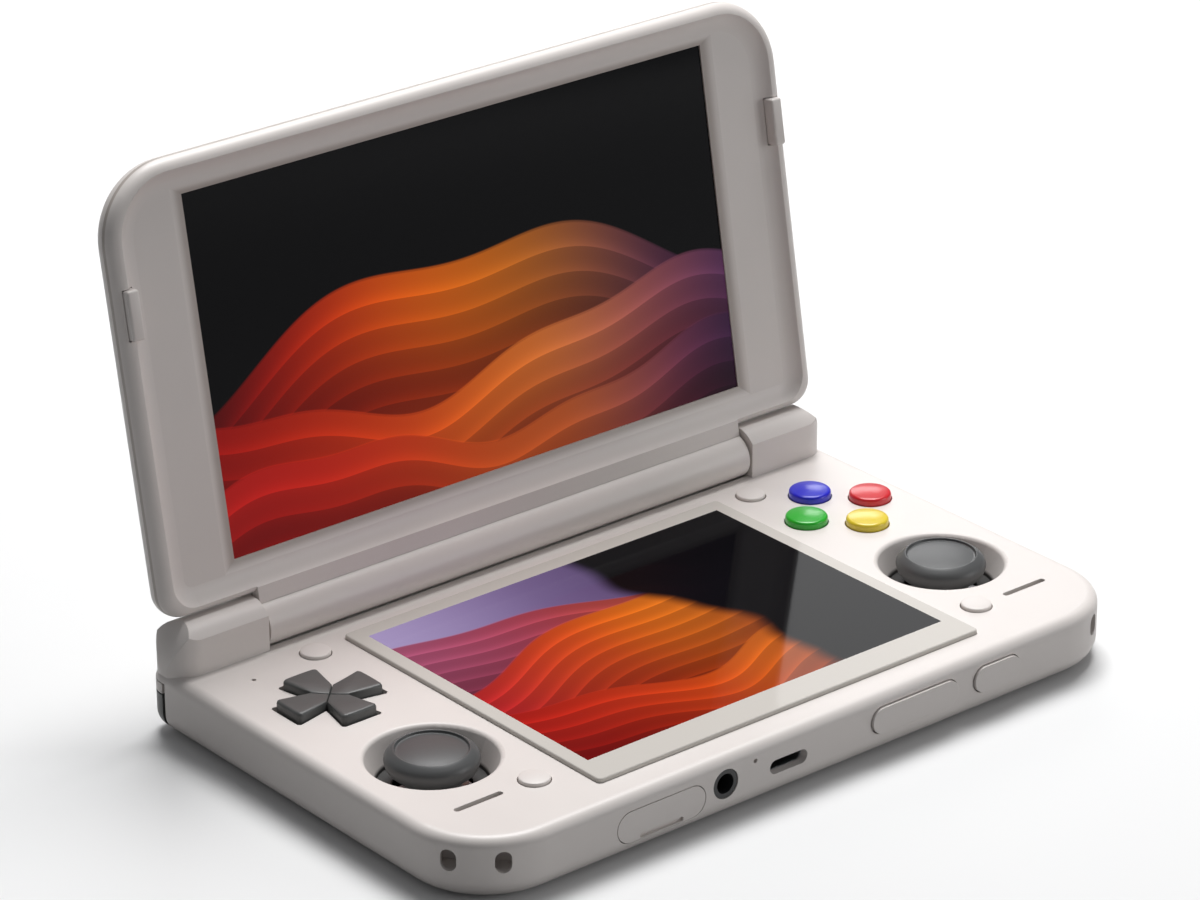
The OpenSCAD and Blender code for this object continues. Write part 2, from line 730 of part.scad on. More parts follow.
module battery() {
  color([0.25, 0.25, 0.28])
    plate(34.5 - half_w, half_w - 34.5, front_in_y + 14.9, board_y0 - 1.5, 2, 6.6, 1.5);
}

module heat_sink() {
  fin_x = fan_x - (fin_count - 1) / 2 * fin_pitch;
  color([0.75, 0.5, 0.35]) {
    box(board_x0 - 0.5, board_x1 - 11, board_y0 + 4, half_d - 9.5, 5.2, 6);
    bar_x(fan_x - 15, board_x1 - 12, half_d - 10.5, 4.4, 1.4);
    box(fan_x - 15, fan_x + 15, half_d - 10.5, half_d - wall - 0.6, 2.1, 2.6);
    box(fan_x - 15, fan_x + 15, half_d - 10.5, half_d - 9, 2.1, 4.4);
    for (i = [0:fin_count - 1])
      box(fin_x + i * fin_pitch - fin_t / 2, fin_x + i * fin_pitch + fin_t / 2, half_d - 9.1,
        half_d - wall - 0.6, 2.5, 8.2);
  }
}

module fan_housing() {
  x0 = fan_x - fan_side / 2;
  y0 = fan_y - fan_side / 2;
  color([0.15, 0.15, 0.16]) {
    difference() {
      plate(x0, x0 + fan_side, y0, y0 + fan_side, fan_low, fan_high, 1);
      post(fan_x, fan_y, fan_low + fan_skin, fan_high - fan_skin, fan_r + 1.1);
      box(x0 + 2.5, x0 + fan_side - 5, fan_y, y0 + fan_side + over, fan_low + fan_skin, fan_high - fan_skin);
      post(fan_x, fan_y, fan_low - over, fan_low + over, 8);
    }
    post(fan_x, fan_y, fan_low + fan_skin + 0.4, fan_high - fan_skin + fit, fan_axle_r);
  }
}

module fan_rotor() {
  color([0.2, 0.2, 0.22]) difference() {
    union() {
      post(fan_x, fan_y, fan_low + 1.4, fan_high - 1.2, 4.2);
      for (i = [0:fan_blades - 1]) translate([fan_x, fan_y, 0]) rotate(i * 360 / fan_blades)
        translate([3.9, 0, 0]) rotate(25) box(0, 7, -0.35, 0.35, fan_low + 1.5, fan_high - 1.3);
    }
    post(fan_x, fan_y, fan_low, fan_high, fan_axle_r + fit);
  }
}

module speakers() {
  color([0.2, 0.2, 0.2]) both_sides() difference() {
    plate(stick_x - 3.4, stick_x + 9.5, menu_near_y - 3.8, menu_near_y + 3.8, ceiling - 3.4, ceiling - play,
      1.5);
    plate(stick_x - 2, stick_x + 8.1, menu_near_y - 2.4, menu_near_y + 2.4, ceiling - 0.7, ceiling, 1);
  }
}

module usb_c_port() {
  y0 = front_in_y + seat;
  color(steel) {
    difference() {
      front_pill(usb_x, deck - usb_down, usb_w + 0.6, usb_h + 0.6, y0, y0 + 7.2);
      front_pill(usb_x, deck - usb_down, usb_w, usb_h, y0 - over, y0 + 6.2);
    }
    box(usb_x - 3.35, usb_x + 3.35, y0 + 0.8, y0 + 6.4, deck - usb_down - 0.35, deck - usb_down + 0.35);
  }
}

module headphone_jack() {
  z = deck - jack_down;
  color(rubber_tone) difference() {
    union() {
      bar_y(jack_x, 0.15 - half_d, front_in_y + 0.6, z, jack_r);
      box(jack_x - 3, jack_x + 3, front_in_y + 0.3, front_in_y + 12.3, io_board_top, z + 2.5);
    }
    bar_y(jack_x, -half_d - over, front_in_y + 11.6, z, jack_bore_r);
  }
}

module card_reader() {
  z = deck - card_down;
  color(steel) difference() {
    box(card_x - 7, card_x + 7, front_in_y + 0.4, front_in_y + 14, io_board_top, io_board_top + 1.6);
    box(card_x - 5.6, card_x + 5.6, front_in_y, front_in_y + 12.8, io_board_top + 0.4, io_board_top + 1.2);
  }
}

module card_door() {
  z = deck - card_down;
  gap = 0.15;
  color(plastic) difference() {
    union() {
      front_pill(card_x, z, card_w - 2 * gap, card_h - 2 * gap, -half_d, 1.1 - half_d);
      front_pill(card_x, z, card_w - 2.1, card_h - 2, 1 - half_d, front_in_y + 0.2);
    }
    front_pill(card_x, z - 2.3, 9.3, 0.8, -half_d - over, 0.6 - half_d);
  }
}

module front_key(x, w, flange_y) {
  z = deck - side_key_down;
  front_pill(x, z, w - 2 * button_gap, side_key_h - 2 * button_gap, -half_d - side_key_proud,
    flange_y + play);
  front_pill(x, z, w + 1.6, side_key_h + 1, flange_y, flange_y + 0.8);
}

module volume_rocker() {
  z = deck - side_key_down;
  color(plastic) {
    front_key(volume_x, volume_w, front_in_y + 0.55);
    for (x = [volume_x - 6.5, volume_x + 6.5])
      box(x - 0.8, x + 0.8, front_in_y + 1, front_in_y + 2.85, z - 1, z + 1);
  }
}

module power_button() {
  z = deck - side_key_down;
  color(plastic) {
    front_key(power_x, power_w, front_in_y + play);
    box(power_x - 0.8, power_x + 0.8, front_in_y + 0.9, front_in_y + 2.5, z - 1, z + 1);
  }
}

module dpad() {
  color(dark_key) translate([-pad_x, pad_y, deck]) {
    difference() {
      translate([0, 0, -3]) linear_extrude(3 + pad_proud) pad_cross(0);
      translate([0, 0, pad_proud - 0.5]) rotate(45)
        cylinder(h = 0.6, r1 = 0, r2 = pad_l / 2 + 2.7, $fn = 4);
    }
    translate([0, 0, -3.5]) cylinder(h = 0.85, r = pad_l / 2 + 0.6);
  }
}

module dpad_pivot_disc() {
  color([0.6, 0.6, 0.6]) translate([-pad_x, pad_y, deck]) {
    translate([0, 0, -5]) cylinder(h = 0.5, r = 3.5);
    translate([0, 0, -4.6]) cylinder(h = 1, r = 0.9);
  }
}

module membrane(x, y, points, r) {
  color([0.5, 0.5, 0.5]) {
    plate(x - 10.4, x + 10.4, y - 10.4, y + 10.4, button_board_top, button_board_top + membrane_t, 3);
    for (turn = [0:90:270]) translate([x, y, 0]) rotate(turn)
      post(points, 0, button_board_top + membrane_t - fit, button_board_top + membrane_t + dome_h, r);
  }
}

module dpad_membrane() membrane(-pad_x, pad_y, 6.6, 2.2);
module face_button_membrane() membrane(cluster_x, cluster_y, 6.9, 3);

module face_button(turn, tone) {
  dome_r = 12;
  color(tone) translate([cluster_x, cluster_y, deck]) rotate(turn) translate([cluster_r, 0, 0]) {
    intersection() {
      translate([0, 0, -2]) cylinder(h = 4 + face_proud, r = face_r);
      translate([0, 0, face_proud - sqrt(dome_r * dome_r - face_r * face_r)]) sphere(dome_r);
    }
    translate([0, 0, -flange_top - flange_t]) cylinder(h = flange_t, r = face_r + 0.8);
    translate([0, 0, -3.4]) cylinder(h = 1, r = 2.4);
  }
}

module face_button_right() face_button(0, [0.85, 0.12, 0.12]);
module face_button_back() face_button(90, [0.12, 0.12, 0.8]);
module face_button_left() face_button(180, [0.12, 0.65, 0.15]);
module face_button_front() face_button(270, [0.85, 0.75, 0.1]);

module menu_button(x, y, stem) {
  dome_r = 12;
  color(plastic) translate([x, y, deck]) {
    intersection() {
      translate([0, 0, -2]) cylinder(h = 4 + menu_proud, r = menu_r);
      translate([0, 0, menu_proud - sqrt(dome_r * dome_r - menu_r * menu_r)]) sphere(dome_r);
    }
    translate([0, 0, -flange_top - flange_t]) cylinder(h = flange_t, r = menu_r + 0.8);
    translate([0, 0, -stem]) cylinder(h = stem - 2, r = 1.2);
  }
}

module select_button() menu_button(-menu_x, menu_far_y, 4.4);
module start_button() menu_button(menu_x, menu_far_y, 4.4);
module home_button() menu_button(-menu_x, menu_near_y, 5.1);
module back_button() menu_button(menu_x, menu_near_y, 5.1);

module stick_housing() {
  low = stick_pivot_z - 3;
  half = stick_box / 2;
  color(rubber_tone) difference() {
    box(-half, half, -half, half, low, low + stick_box_h);
    box(stick_wall - half, half - stick_wall, stick_wall - half, half - stick_wall, low + stick_floor,
      low + stick_box_h + over);
    bar_x(-half - over, half + over, 0, stick_pivot_z, yoke_pin_r + fit);
  }
}

module stick_yoke() {
  color(steel) {
    difference() {
      box(-yoke_x, yoke_x, -yoke_y, yoke_y, stick_pivot_z - yoke_half_t, stick_pivot_z + yoke_half_t);
      box(-gimbal_x - 0.6, gimbal_x + 0.6, -gimbal_y - 0.4, gimbal_y + 0.4, 0, deck);
      bar_y(0, -yoke_y - over, yoke_y + over, stick_pivot_z, gimbal_pin_r + fit);
    }
    bar_x(yoke_x - 0.5, stick_box / 2 - play, 0, stick_pivot_z, yoke_pin_r);
    bar_x(play - stick_box / 2, 0.5 - yoke_x, 0, stick_pivot_z, yoke_pin_r);
  }
}

module stick_gimbal() {
  color([0.85, 0.85, 0.8]) difference() {
    union() {
      box(-gimbal_x, gimbal_x, -gimbal_y, gimbal_y, stick_pivot_z - yoke_half_t, stick_pivot_z + yoke_half_t);
      bar_y(0, -yoke_y, yoke_y, stick_pivot_z, gimbal_pin_r);
    }
    post(0, 0, 0, deck, shaft_r + fit);
  }
}

module stick_shaft() {
  color(steel) post(0, 0, stick_pivot_z - shaft_down, deck + 0.2, shaft_r);
}

module stick_cap() {
  k = cap_r / 8.1;
  hub_low = stick_pivot_z + cap_hub_up - deck;
  color(stick_grey) translate([0, 0, deck]) rotate_extrude($fn = 64) polygon([
    [shaft_r, hub_low], [cap_hub_r, hub_low], [cap_hub_r, -2.75], [6.4 * k, -2.75], [7.2 * k, -2.5],
    [7.75 * k, -1.9], [8 * k, -1.2], [cap_r, -0.5], [7.95 * k, 0.3], [7.5 * k, 0.95], [6.9 * k, 1.35],
    [6.3 * k, 1.6], [6 * k, 1.55],
    [5.85 * k, 1.25], [5.5 * k, 1.25], [4.4 * k, 1.5], [2.4 * k, 1.7], [0, 1.75], [0, 0.2], [shaft_r, 0.2]
  ]);
}

module left_stick() translate([-stick_x, stick_y, 0]) children();
module right_stick() translate([stick_x, stick_y, 0]) children();
module left_stick_housing() left_stick() stick_housing();
module right_stick_housing() right_stick() stick_housing();
module left_stick_yoke() left_stick() stick_yoke();
module right_stick_yoke() right_stick() stick_yoke();
module left_stick_gimbal() left_stick() stick_gimbal();
module right_stick_gimbal() right_stick() stick_gimbal();
module left_stick_shaft() left_stick() stick_shaft();
module right_stick_shaft() right_stick() stick_shaft();
module left_stick_cap() left_stick() stick_cap();
module right_stick_cap() right_stick() stick_cap();

// Shoulder button cut from the base's own outline, so that it carries the outline on
module shoulder_button(z0, z1, tone) {
  color(tone) difference() {
    intersection() {
      base_slab();
      box(shoulder_from + 0.4, half_w + over, pocket_y + shoulder_gap, half_d + over, z0, z1);
    }
    post(shoulder_pin_x, shoulder_pin_y, -over, deck, shoulder_pin_r + fit);
  }
}

module trigger() shoulder_button(pocket_low + play, shoulder_split, dark_key);
module bumper() shoulder_button(shoulder_split + split_gap, shoulder_split + split_gap + bumper_t, plastic);
module right_bumper() bumper();
module left_bumper() mirror([1, 0, 0]) bumper();
module right_trigger() trigger();
module left_trigger() mirror([1, 0, 0]) trigger();

module shoulder_pins() {
  color(steel) both_sides() post(shoulder_pin_x, shoulder_pin_y, 0.35, pocket_high + 0.5, shoulder_pin_r);
}

module shoulder_switches() {
  y = pocket_y - wall;
  color(board_green) both_sides() {
    box(switch_x - 3, switch_x + 3, y - 1.8, y - 1, 2.3, back_ceiling - play);
    for (z = [4.2, 7.4]) {
      box(switch_x - 2, switch_x + 2, y - 1.1, y + 1, z - 0.9, z + 0.7);
      bar_y(switch_x, y + 0.9, pocket_y + 0.12, z, 0.6);
    }
  }
}

module hinge_unit() {
  color(steel) {
    bar_x(barrel_half - 7, knuckle_x + 11, hinge_y, hinge_z, pin_r);
    bar_x(knuckle_x + 1, knuckle_x + 12, hinge_y, hinge_z, pack_r);
    box(knuckle_x + 1.2, knuckle_x + 6.5, bracket_y, bracket_y + 1, back_ceiling - 1.3, hinge_z);
    box(knuckle_x + 1.2, knuckle_x + 6.5, bracket_y - 3.5, bracket_y + 1, back_ceiling - 1.3,
      back_ceiling - 0.3);
  }
}

module right_hinge_unit() hinge_unit();
module left_hinge_unit() mirror([1, 0, 0]) hinge_unit();

module lid_hinge_arms() {
  bore = barrel_r - barrel_wall;
  color(steel) on_lid() both_sides() difference() {
    union() {
      bar_x(barrel_half - 7.6, barrel_half - 1.6, 0, 0, bore - seat);
      box(barrel_half - 7.6, barrel_half - 1.6, 0, chin_top + 0.4, -1.2, 0.2);
    }
    bar_x(barrel_half - 8, barrel_half, 0, 0, pin_r + fit);
  }
}

module lid_hinge_barrel() {
  bore = barrel_r - barrel_wall;
  color(plastic) on_lid() difference() {
    bar_x(-barrel_half, barrel_half, 0, 0, barrel_r);
    bar_x(-barrel_half - over, barrel_half + over, 0, 0, bore);
    both_sides() box(barrel_half - 7.8, barrel_half - 1.4, 0, barrel_r + over, -1.4, 0.4);
    box(-9.4, 9.4, 0, barrel_r + over, -2.8, -1.9);
  }
}

// Outer form of the lid with the chin that reaches down to the barrel
module lid_form() {
  translate([0, 0, -back_n])
    slab(-lid_half, lid_half, lid_low, lid_reach, back_n + rim_n, lid_low_r, lid_corner_r, lid_rim_r,
      lid_back_r);
  translate([-barrel_half, 0, 0]) rotate([90, 0, 90]) linear_extrude(2 * barrel_half) difference() {
    translate([1, -back_n]) square([lid_low + lid_low_r, back_n + rim_n]);
    translate([1 + chin_r, chin_r - back_n]) rotate(180) difference() {
      square(chin_r + over);
      circle(chin_r);
    }
  }
}

module barrel_space() {
  bar_x(-barrel_half - over, barrel_half + over, 0, 0, barrel_r + fit);
}

module lid_back_shell() {
  skin = lid_skin - back_n;
  color(plastic) on_lid() difference() {
    lid_form();
    box(-lid_half - over, lid_half + over, -over, lid_reach + over, seam_n, rim_n + over);
    translate([0, 0, skin])
      slab(lid_skin - lid_half, lid_half - lid_skin, lid_low + lid_skin, lid_reach - lid_skin, 2 * back_n,
        lid_low_r - lid_skin, lid_corner_r - lid_skin, 0.1, lid_back_r - lid_skin);
    box(-barrel_half + 1.4, barrel_half - 1.4, 2.6, lid_low + 4, skin, rim_n);
    barrel_space();
  }
}

// Half section of a hollow with a flat floor out to r and a curved side beyond it
module cove_section(r) {
  translate([-2, 0]) square([r + 2.1, 8]);
  translate([r, 0]) edge_section(cove_r, 8, 0.1, cove_r);
}

// Hollow inside the rim, from pieces that lap over each other
module cove_hollow() {
  x = lid_half - rim_w - cove_w;
  y0 = chin_top + cove_w;
  y1 = lid_reach - rim_far_w - cove_w;
  near_r = 1.5;
  far_r = lid_corner_r - rim_w - cove_w;
  near_x = x - near_r;
  far_x = x - far_r;
  side_y = y0 + near_r;
  side_l = y1 - far_r - side_y;
  box(1 - x, x - 1, side_y + 0.4, side_y + side_l - 0.4, 0, 8);
  box(0.4 - far_x, far_x - 0.4, y0 + 1, y1 - 1, 0, 8);
  box(0.4 - near_x, near_x - 0.4, y0 + 1, y0 + far_r, 0, 8);
  translate([-near_x, y0, 0]) rotate([90, 0, 90]) linear_extrude(2 * near_x) mirror([1, 0])
    cove_section(0);
  translate([far_x, y1, 0]) rotate([90, 0, 270]) linear_extrude(2 * far_x) mirror([1, 0])
    cove_section(0);
  translate([-x, side_y + side_l, 0]) rotate([90, 0, 0]) linear_extrude(side_l) mirror([1, 0])
    cove_section(0);
  translate([x, side_y, 0]) rotate([90, 0, 180]) linear_extrude(side_l) mirror([1, 0])
    cove_section(0);
  both_sides() {
    translate([x - near_r, y0 + near_r, 0]) rotate_extrude() intersection() {
      cove_section(near_r);
      square([20, 8]);
    }
    translate([x - far_r, y1 - far_r, 0]) rotate_extrude() intersection() {
      cove_section(far_r);
      square([20, 8]);
    }
  }
}

module lid_front_frame() {
  view_x = up_view_w / 2;
  view_y0 = up_view_in;
  view_y1 = up_view_in + up_view_h;
  color(plastic) on_lid() difference() {
    lid_form();
    box(-lid_half - over, lid_half + over, -over, lid_reach + over, -back_n - over, seam_n);
    translate([0, 0, bezel_n]) cove_hollow();
    hull() {
      box(-view_x, view_x, view_y0, view_y1, lip_n - 0.01, lip_n);
      box(-view_x - slope_w, view_x + slope_w, chin_top + cove_w, lid_reach - rim_far_w - cove_w,
        bezel_n, bezel_n + 0.01);
    }
    box(-view_x, view_x, view_y0, view_y1, seam_n - over, bezel_n);
    box(-view_x - 1.6, view_x + 1.6, view_y0 - 1.6, view_y1 + 1.6, seam_n - over, up_glass_n);
    box(-barrel_half + 1.4, barrel_half - 1.4, 2.6, chin_top + 0.4, seam_n - over, rim_n - 1.3);
    both_sides() bumper_block(0.1);
    barrel_space();
  }
}

// Block on the rim that meets the deck when the lid is shut
module bumper_block(grow) {
  x = lid_half - rim_w;
  y = lid_reach - bumper_far;
  box(x - 1.3 - grow, x + 1.1 + grow, y - bumper_l - grow, y + grow, bezel_n - grow, hinge_up - 0.5);
}

module lid_bumpers() {
  color(plastic) on_lid() both_sides() bumper_block(0);
}

module upper_glass() {
  x = up_view_w / 2 + 1.4;
  color(glass_tone) on_lid()
    plate(-x, x, up_view_in - 1.4, up_view_in + up_view_h + 1.4, up_glass_n - up_glass_t, up_glass_n, 0.8);
}

module upper_display_panel() {
  x = up_view_w / 2 + 1.2;
  high = up_glass_n - up_glass_t;
  color(glass_tone) on_lid()
    box(-x, x, up_view_in - 1.2, up_view_in + up_view_h + 1.2, high - panel_t, high);
}

// Flat cable from the upper display into the barrel, where it is rolled up round the axis
module display_cable() {
  roll_r = 2.5;
  color([0.75, 0.5, 0.15]) on_lid() {
    difference() {
      bar_x(-8.5, 8.5, 0, 0, roll_r);
      bar_x(-9.5, 9.5, 0, 0, roll_r - 0.25);
    }
    box(-8.5, 8.5, 0, 9.6, -roll_r, 0.25 - roll_r);
    box(-8.5, 8.5, 9.35, 9.6, up_panel_low - 0.5, 0.25 - roll_r);
    box(-8.5, 8.5, 9.35, 22, up_panel_low - 0.5, up_panel_low - 0.25);
    box(-8.5, 8.5, 21, 22, up_panel_low - 0.3, up_panel_low);
  }
}

base_top_shell();
base_bottom_cover();
rubber_feet();
cover_screws();
lower_glass();
lower_display_panel();
mainboard();
io_board();
left_button_board();
right_button_board();
battery();
heat_sink();
fan_housing();
fan_rotor();
speakers();
usb_c_port();
headphone_jack();
card_reader();
card_door();
volume_rocker();
power_button();
dpad();
dpad_pivot_disc();
dpad_membrane();
face_button_back();
face_button_right();
face_button_front();
face_button_left();
face_button_membrane();
select_button();
start_button();
home_button();
back_button();
left_stick_housing();
left_stick_yoke();
left_stick_gimbal();
left_stick_shaft();
left_stick_cap();
right_stick_housing();
right_stick_yoke();
right_stick_gimbal();
right_stick_shaft();
right_stick_cap();
left_bumper();
right_bumper();
left_trigger();
right_trigger();
shoulder_pins();
shoulder_switches();
left_hinge_unit();
right_hinge_unit();
lid_hinge_arms();
lid_hinge_barrel();
lid_back_shell();
lid_front_frame();
upper_glass();
upper_display_panel();
lid_bumpers();
display_cable();
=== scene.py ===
"""Looks of the clamshell game console: keys and sticks as finished meshes, materials for every
piece, and the photograph's view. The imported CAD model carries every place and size."""

import json
import math

import bmesh
import bpy
from mathutils import Matrix, Vector


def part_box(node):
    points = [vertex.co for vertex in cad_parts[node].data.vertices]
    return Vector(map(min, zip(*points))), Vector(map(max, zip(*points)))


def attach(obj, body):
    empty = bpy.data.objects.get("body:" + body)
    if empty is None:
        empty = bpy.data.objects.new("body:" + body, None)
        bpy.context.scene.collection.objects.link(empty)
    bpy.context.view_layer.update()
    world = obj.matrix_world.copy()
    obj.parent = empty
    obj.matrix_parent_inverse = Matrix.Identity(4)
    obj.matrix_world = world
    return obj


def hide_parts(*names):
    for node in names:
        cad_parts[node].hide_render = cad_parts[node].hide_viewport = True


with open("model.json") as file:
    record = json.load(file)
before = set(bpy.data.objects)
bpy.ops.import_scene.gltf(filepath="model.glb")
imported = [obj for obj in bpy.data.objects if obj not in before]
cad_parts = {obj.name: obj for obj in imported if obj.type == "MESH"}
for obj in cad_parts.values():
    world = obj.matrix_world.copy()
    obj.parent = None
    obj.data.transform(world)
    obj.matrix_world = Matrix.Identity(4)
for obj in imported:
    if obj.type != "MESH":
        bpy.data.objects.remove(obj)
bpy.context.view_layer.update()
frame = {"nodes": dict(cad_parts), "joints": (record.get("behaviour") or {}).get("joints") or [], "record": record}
NODES = frame["nodes"]
MM = 0.001

# Places that the pieces share, in metres: the hinge from model.json, the deck given, the foot read from the
# imported nodes
JOINTS = {joint["name"]: joint for joint in frame["joints"]}
HINGE = Vector(JOINTS["lid_hinge"]["pos_m"])
LID_TURN = math.radians(JOINTS["lid_hinge"]["range_deg"][0])
DECK = 11.3 * MM
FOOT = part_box("rubber_feet")[0].z


def middle(node):
    low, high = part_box(node)
    return (low + high) / 2


# ---------------------------------------------------------------- view

VIEW_AZIMUTH = math.radians(-39.52)
VIEW_ELEVATION = math.radians(24.46)
VIEW_ROLL = math.radians(-0.31)
VIEW_FROM = Vector((-482.6, -574.4, 384.7)) * MM
VIEW_LENS = 144.35
VIEW_SHIFT = (-0.006, 0.0085)


def photograph_view():
    camera = bpy.data.cameras.new("camera")
    camera.sensor_width = 36
    camera.lens = VIEW_LENS
    camera.shift_x, camera.shift_y = VIEW_SHIFT
    camera.clip_start = 0.01
    camera.clip_end = 20
    spot = bpy.data.objects.new("camera", camera)
    spot.matrix_world = (
        Matrix.Translation(VIEW_FROM)
        @ Matrix.Rotation(VIEW_AZIMUTH, 4, "Z")
        @ Matrix.Rotation(math.pi / 2 - VIEW_ELEVATION, 4, "X")
        @ Matrix.Rotation(VIEW_ROLL, 4, "Z")
    )
    bpy.context.scene.collection.objects.link(spot)
    bpy.context.scene.camera = spot


def soft_lamp(name, place, aim, size, power):
    lamp = bpy.data.lights.new(name, "AREA")
    lamp.shape = "RECTANGLE"
    lamp.size, lamp.size_y = size
    lamp.energy = power
    holder = bpy.data.objects.new(name, lamp)
    holder.location = place
    holder.rotation_euler = (Vector(aim) - Vector(place)).to_track_quat("-Z", "Y").to_euler()
    bpy.context.scene.collection.objects.link(holder)


FLOOR_HALF = 3
FLOOR_GAP = 0.1 * MM
FLOOR_SEEN = (0.84, 0.84, 0.84)
FLOOR_LIGHTING = (0.3, 0.3, 0.3)
SKY_COLOR = (0.9, 0.92, 0.95, 1)
SKY_STRENGTH = 0.17


def studio():
    """A pale floor that throws little light up, a dim world, a broad lamp overhead and two weak
    ones, behind and in front on the right."""
    bm = bmesh.new()
    bmesh.ops.create_grid(bm, x_segments=1, y_segments=1, size=FLOOR_HALF)
    bmesh.ops.translate(bm, verts=bm.verts, vec=(0, 0, FOOT - FLOOR_GAP))
    floor = new_piece("floor", bm)
    paint = Shader("floor_paint")
    rays = paint.node("ShaderNodeLightPath").outputs
    seen = rays["Is Camera Ray"]
    for kind in ("Is Glossy Ray", "Is Transmission Ray"):
        seen = paint.math("MAXIMUM", seen, rays[kind])
    paint.surface(color=paint.mix(seen, FLOOR_LIGHTING, FLOOR_SEEN), roughness=0.9)
    floor.data.materials.append(paint.material)

    world = bpy.data.worlds.new("world")
    bpy.context.scene.world = world
    world.use_nodes = True
    sky = world.node_tree.nodes["Background"]
    sky.inputs["Color"].default_value = SKY_COLOR
    sky.inputs["Strength"].default_value = SKY_STRENGTH
    soft_lamp("top_lamp", (0.32, 0.3, 1.05), (0.02, 0, 0.01), (0.6, 0.5), 14)
    soft_lamp("back_lamp", (0.8, 0.95, 0.56), (0.03, 0, 0.01), (0.5, 0.4), 2.2)
    soft_lamp("front_lamp", (0.75, -0.95, 0.3), (0, 0, 0.04), (0.5, 0.5), 2.6)


# ---------------------------------------------------------------- material nodes


class Shader:
    """A material under construction: each method adds a node and returns its output."""

    def __init__(self, name):
        self.material = bpy.data.materials.new(name)
        self.material.use_nodes = True
        self.tree = self.material.node_tree
        self.bsdf = self.tree.nodes["Principled BSDF"]

    def node(self, kind, **settings):
        made = self.tree.nodes.new(kind)
        for name, value in settings.items():
            setattr(made, name, value)
        return made

    def feed(self, socket, value):
        if isinstance(value, bpy.types.NodeSocket):
            self.tree.links.new(value, socket)
        elif socket.type == "RGBA" and len(value) == 3:
            socket.default_value = (*value, 1)
        else:
            socket.default_value = value

    def surface(self, color, roughness, **more):
        """Feeds the Principled node: plain values go straight on its sockets."""
        for socket, value in {"Base Color": color, "Roughness": roughness, **more}.items():
            self.feed(self.bsdf.inputs[socket], value)

    def place(self, turn=(0, 0, 0)):
        """Object coordinates in metres, turned into a piece's own directions."""
        coordinate = self.node("ShaderNodeTexCoord")
        mapping = self.node("ShaderNodeMapping", vector_type="POINT")
        self.feed(mapping.inputs["Vector"], coordinate.outputs["Object"])
        mapping.inputs["Rotation"].default_value = turn
        return mapping.outputs["Vector"]

    def split(self, vector):
        parts = self.node("ShaderNodeSeparateXYZ")
        self.feed(parts.inputs[0], vector)
        return parts.outputs

    def math(self, operation, *values, clamp=False):
        made = self.node("ShaderNodeMath", operation=operation, use_clamp=clamp)
        for socket, value in zip(made.inputs, values):
            self.feed(socket, value)
        return made.outputs[0]

    def between(self, value, low, high):
        """0 below low, 1 above high, with a soft step."""
        made = self.node("ShaderNodeMapRange", interpolation_type="SMOOTHSTEP")
        for socket, fed in zip(made.inputs, (value, low, high, 0, 1)):
            self.feed(socket, fed)
        return made.outputs[0]

    def mix(self, share, first, second, blend="MIX"):
        made = self.node("ShaderNodeMix", data_type="RGBA", blend_type=blend)
        self.feed(made.inputs["Factor"], share)
        self.feed(made.inputs["A"], first)
        self.feed(made.inputs["B"], second)
        return made.outputs["Result"]

    def noise(self, vector, scale, detail, roughness=0.5):
        made = self.node("ShaderNodeTexNoise")
        for name, value in (
            ("Vector", vector), ("Scale", scale), ("Detail", detail), ("Roughness", roughness)
        ):
            self.feed(made.inputs[name], value)
        return made.outputs[0]

    def ramp(self, value, stops):
        made = self.node("ShaderNodeValToRGB")
        made.color_ramp.interpolation = "B_SPLINE"
        while len(made.color_ramp.elements) < len(stops):
            made.color_ramp.elements.new(0.5)
        for element, (place, color) in zip(made.color_ramp.elements, stops):
            element.position = place
            element.color = (*color, 1)
        self.feed(made.inputs[0], value)
        return made.outputs[0]

    def relief(self, height, depth, edge):
        """Bump of that depth in metres, over edges rounded by that radius."""
        bump = self.node("ShaderNodeBump")
        self.feed(bump.inputs["Height"], height)
        bump.inputs["Distance"].default_value = depth
        rounded = self.node("ShaderNodeBevel", samples=4)
        rounded.inputs["Radius"].default_value = edge
        self.feed(bump.inputs["Normal"], rounded.outputs[0])
        self.feed(self.bsdf.inputs["Normal"], bump.outputs[0])


def moulded(
    name, color, roughness, grain=0.35, grain_depth=0.006, edge=0.12, mottle=0.02, shade=None,
    **more,
):
    """Moulded plastic or rubber: spark-eroded grain, slight mottle and softened edges.
    grain is the size of a grain in mm, grain_depth its depth in mm, edge the rounding in mm,
    and shade a function that gives painted shade to multiply into the colour."""
    paint = Shader(name)
    place = paint.place()
    broad = paint.noise(place, 45, 3)
    fine = paint.noise(place, 1 / (grain * MM), 2, 0.6)
    dark = [channel * (1 - 2 * mottle) for channel in color]
    light = [min(channel * (1 + 2 * mottle), 1) for channel in color]
    tone = paint.mix(broad, dark, light)
    if shade:
        # painted shade, multiplied into the mottled colour
        tone = paint.mix(1.0, tone, shade(paint, place), "MULTIPLY")
    paint.surface(
        color=tone,
        roughness=paint.math("ADD", paint.math("MULTIPLY", broad, 0.12), roughness - 0.06),
        **more,
    )
    paint.relief(fine, grain_depth * MM, edge * MM)
    return paint.material


# ---------------------------------------------------------------- meshes


def new_piece(name, bm, smooth_angle=None):
    """A mesh object from a bmesh, with faces out."""
    bmesh.ops.recalc_face_normals(bm, faces=bm.faces)
    mesh = bpy.data.meshes.new(name)
    bm.to_mesh(mesh)
    bm.free()
    piece = bpy.data.objects.new(name, mesh)
    bpy.context.scene.collection.objects.link(piece)
    if smooth_angle:
        mesh.shade_smooth()
        mesh.set_sharp_from_angle(angle=math.radians(smooth_angle))
    return piece


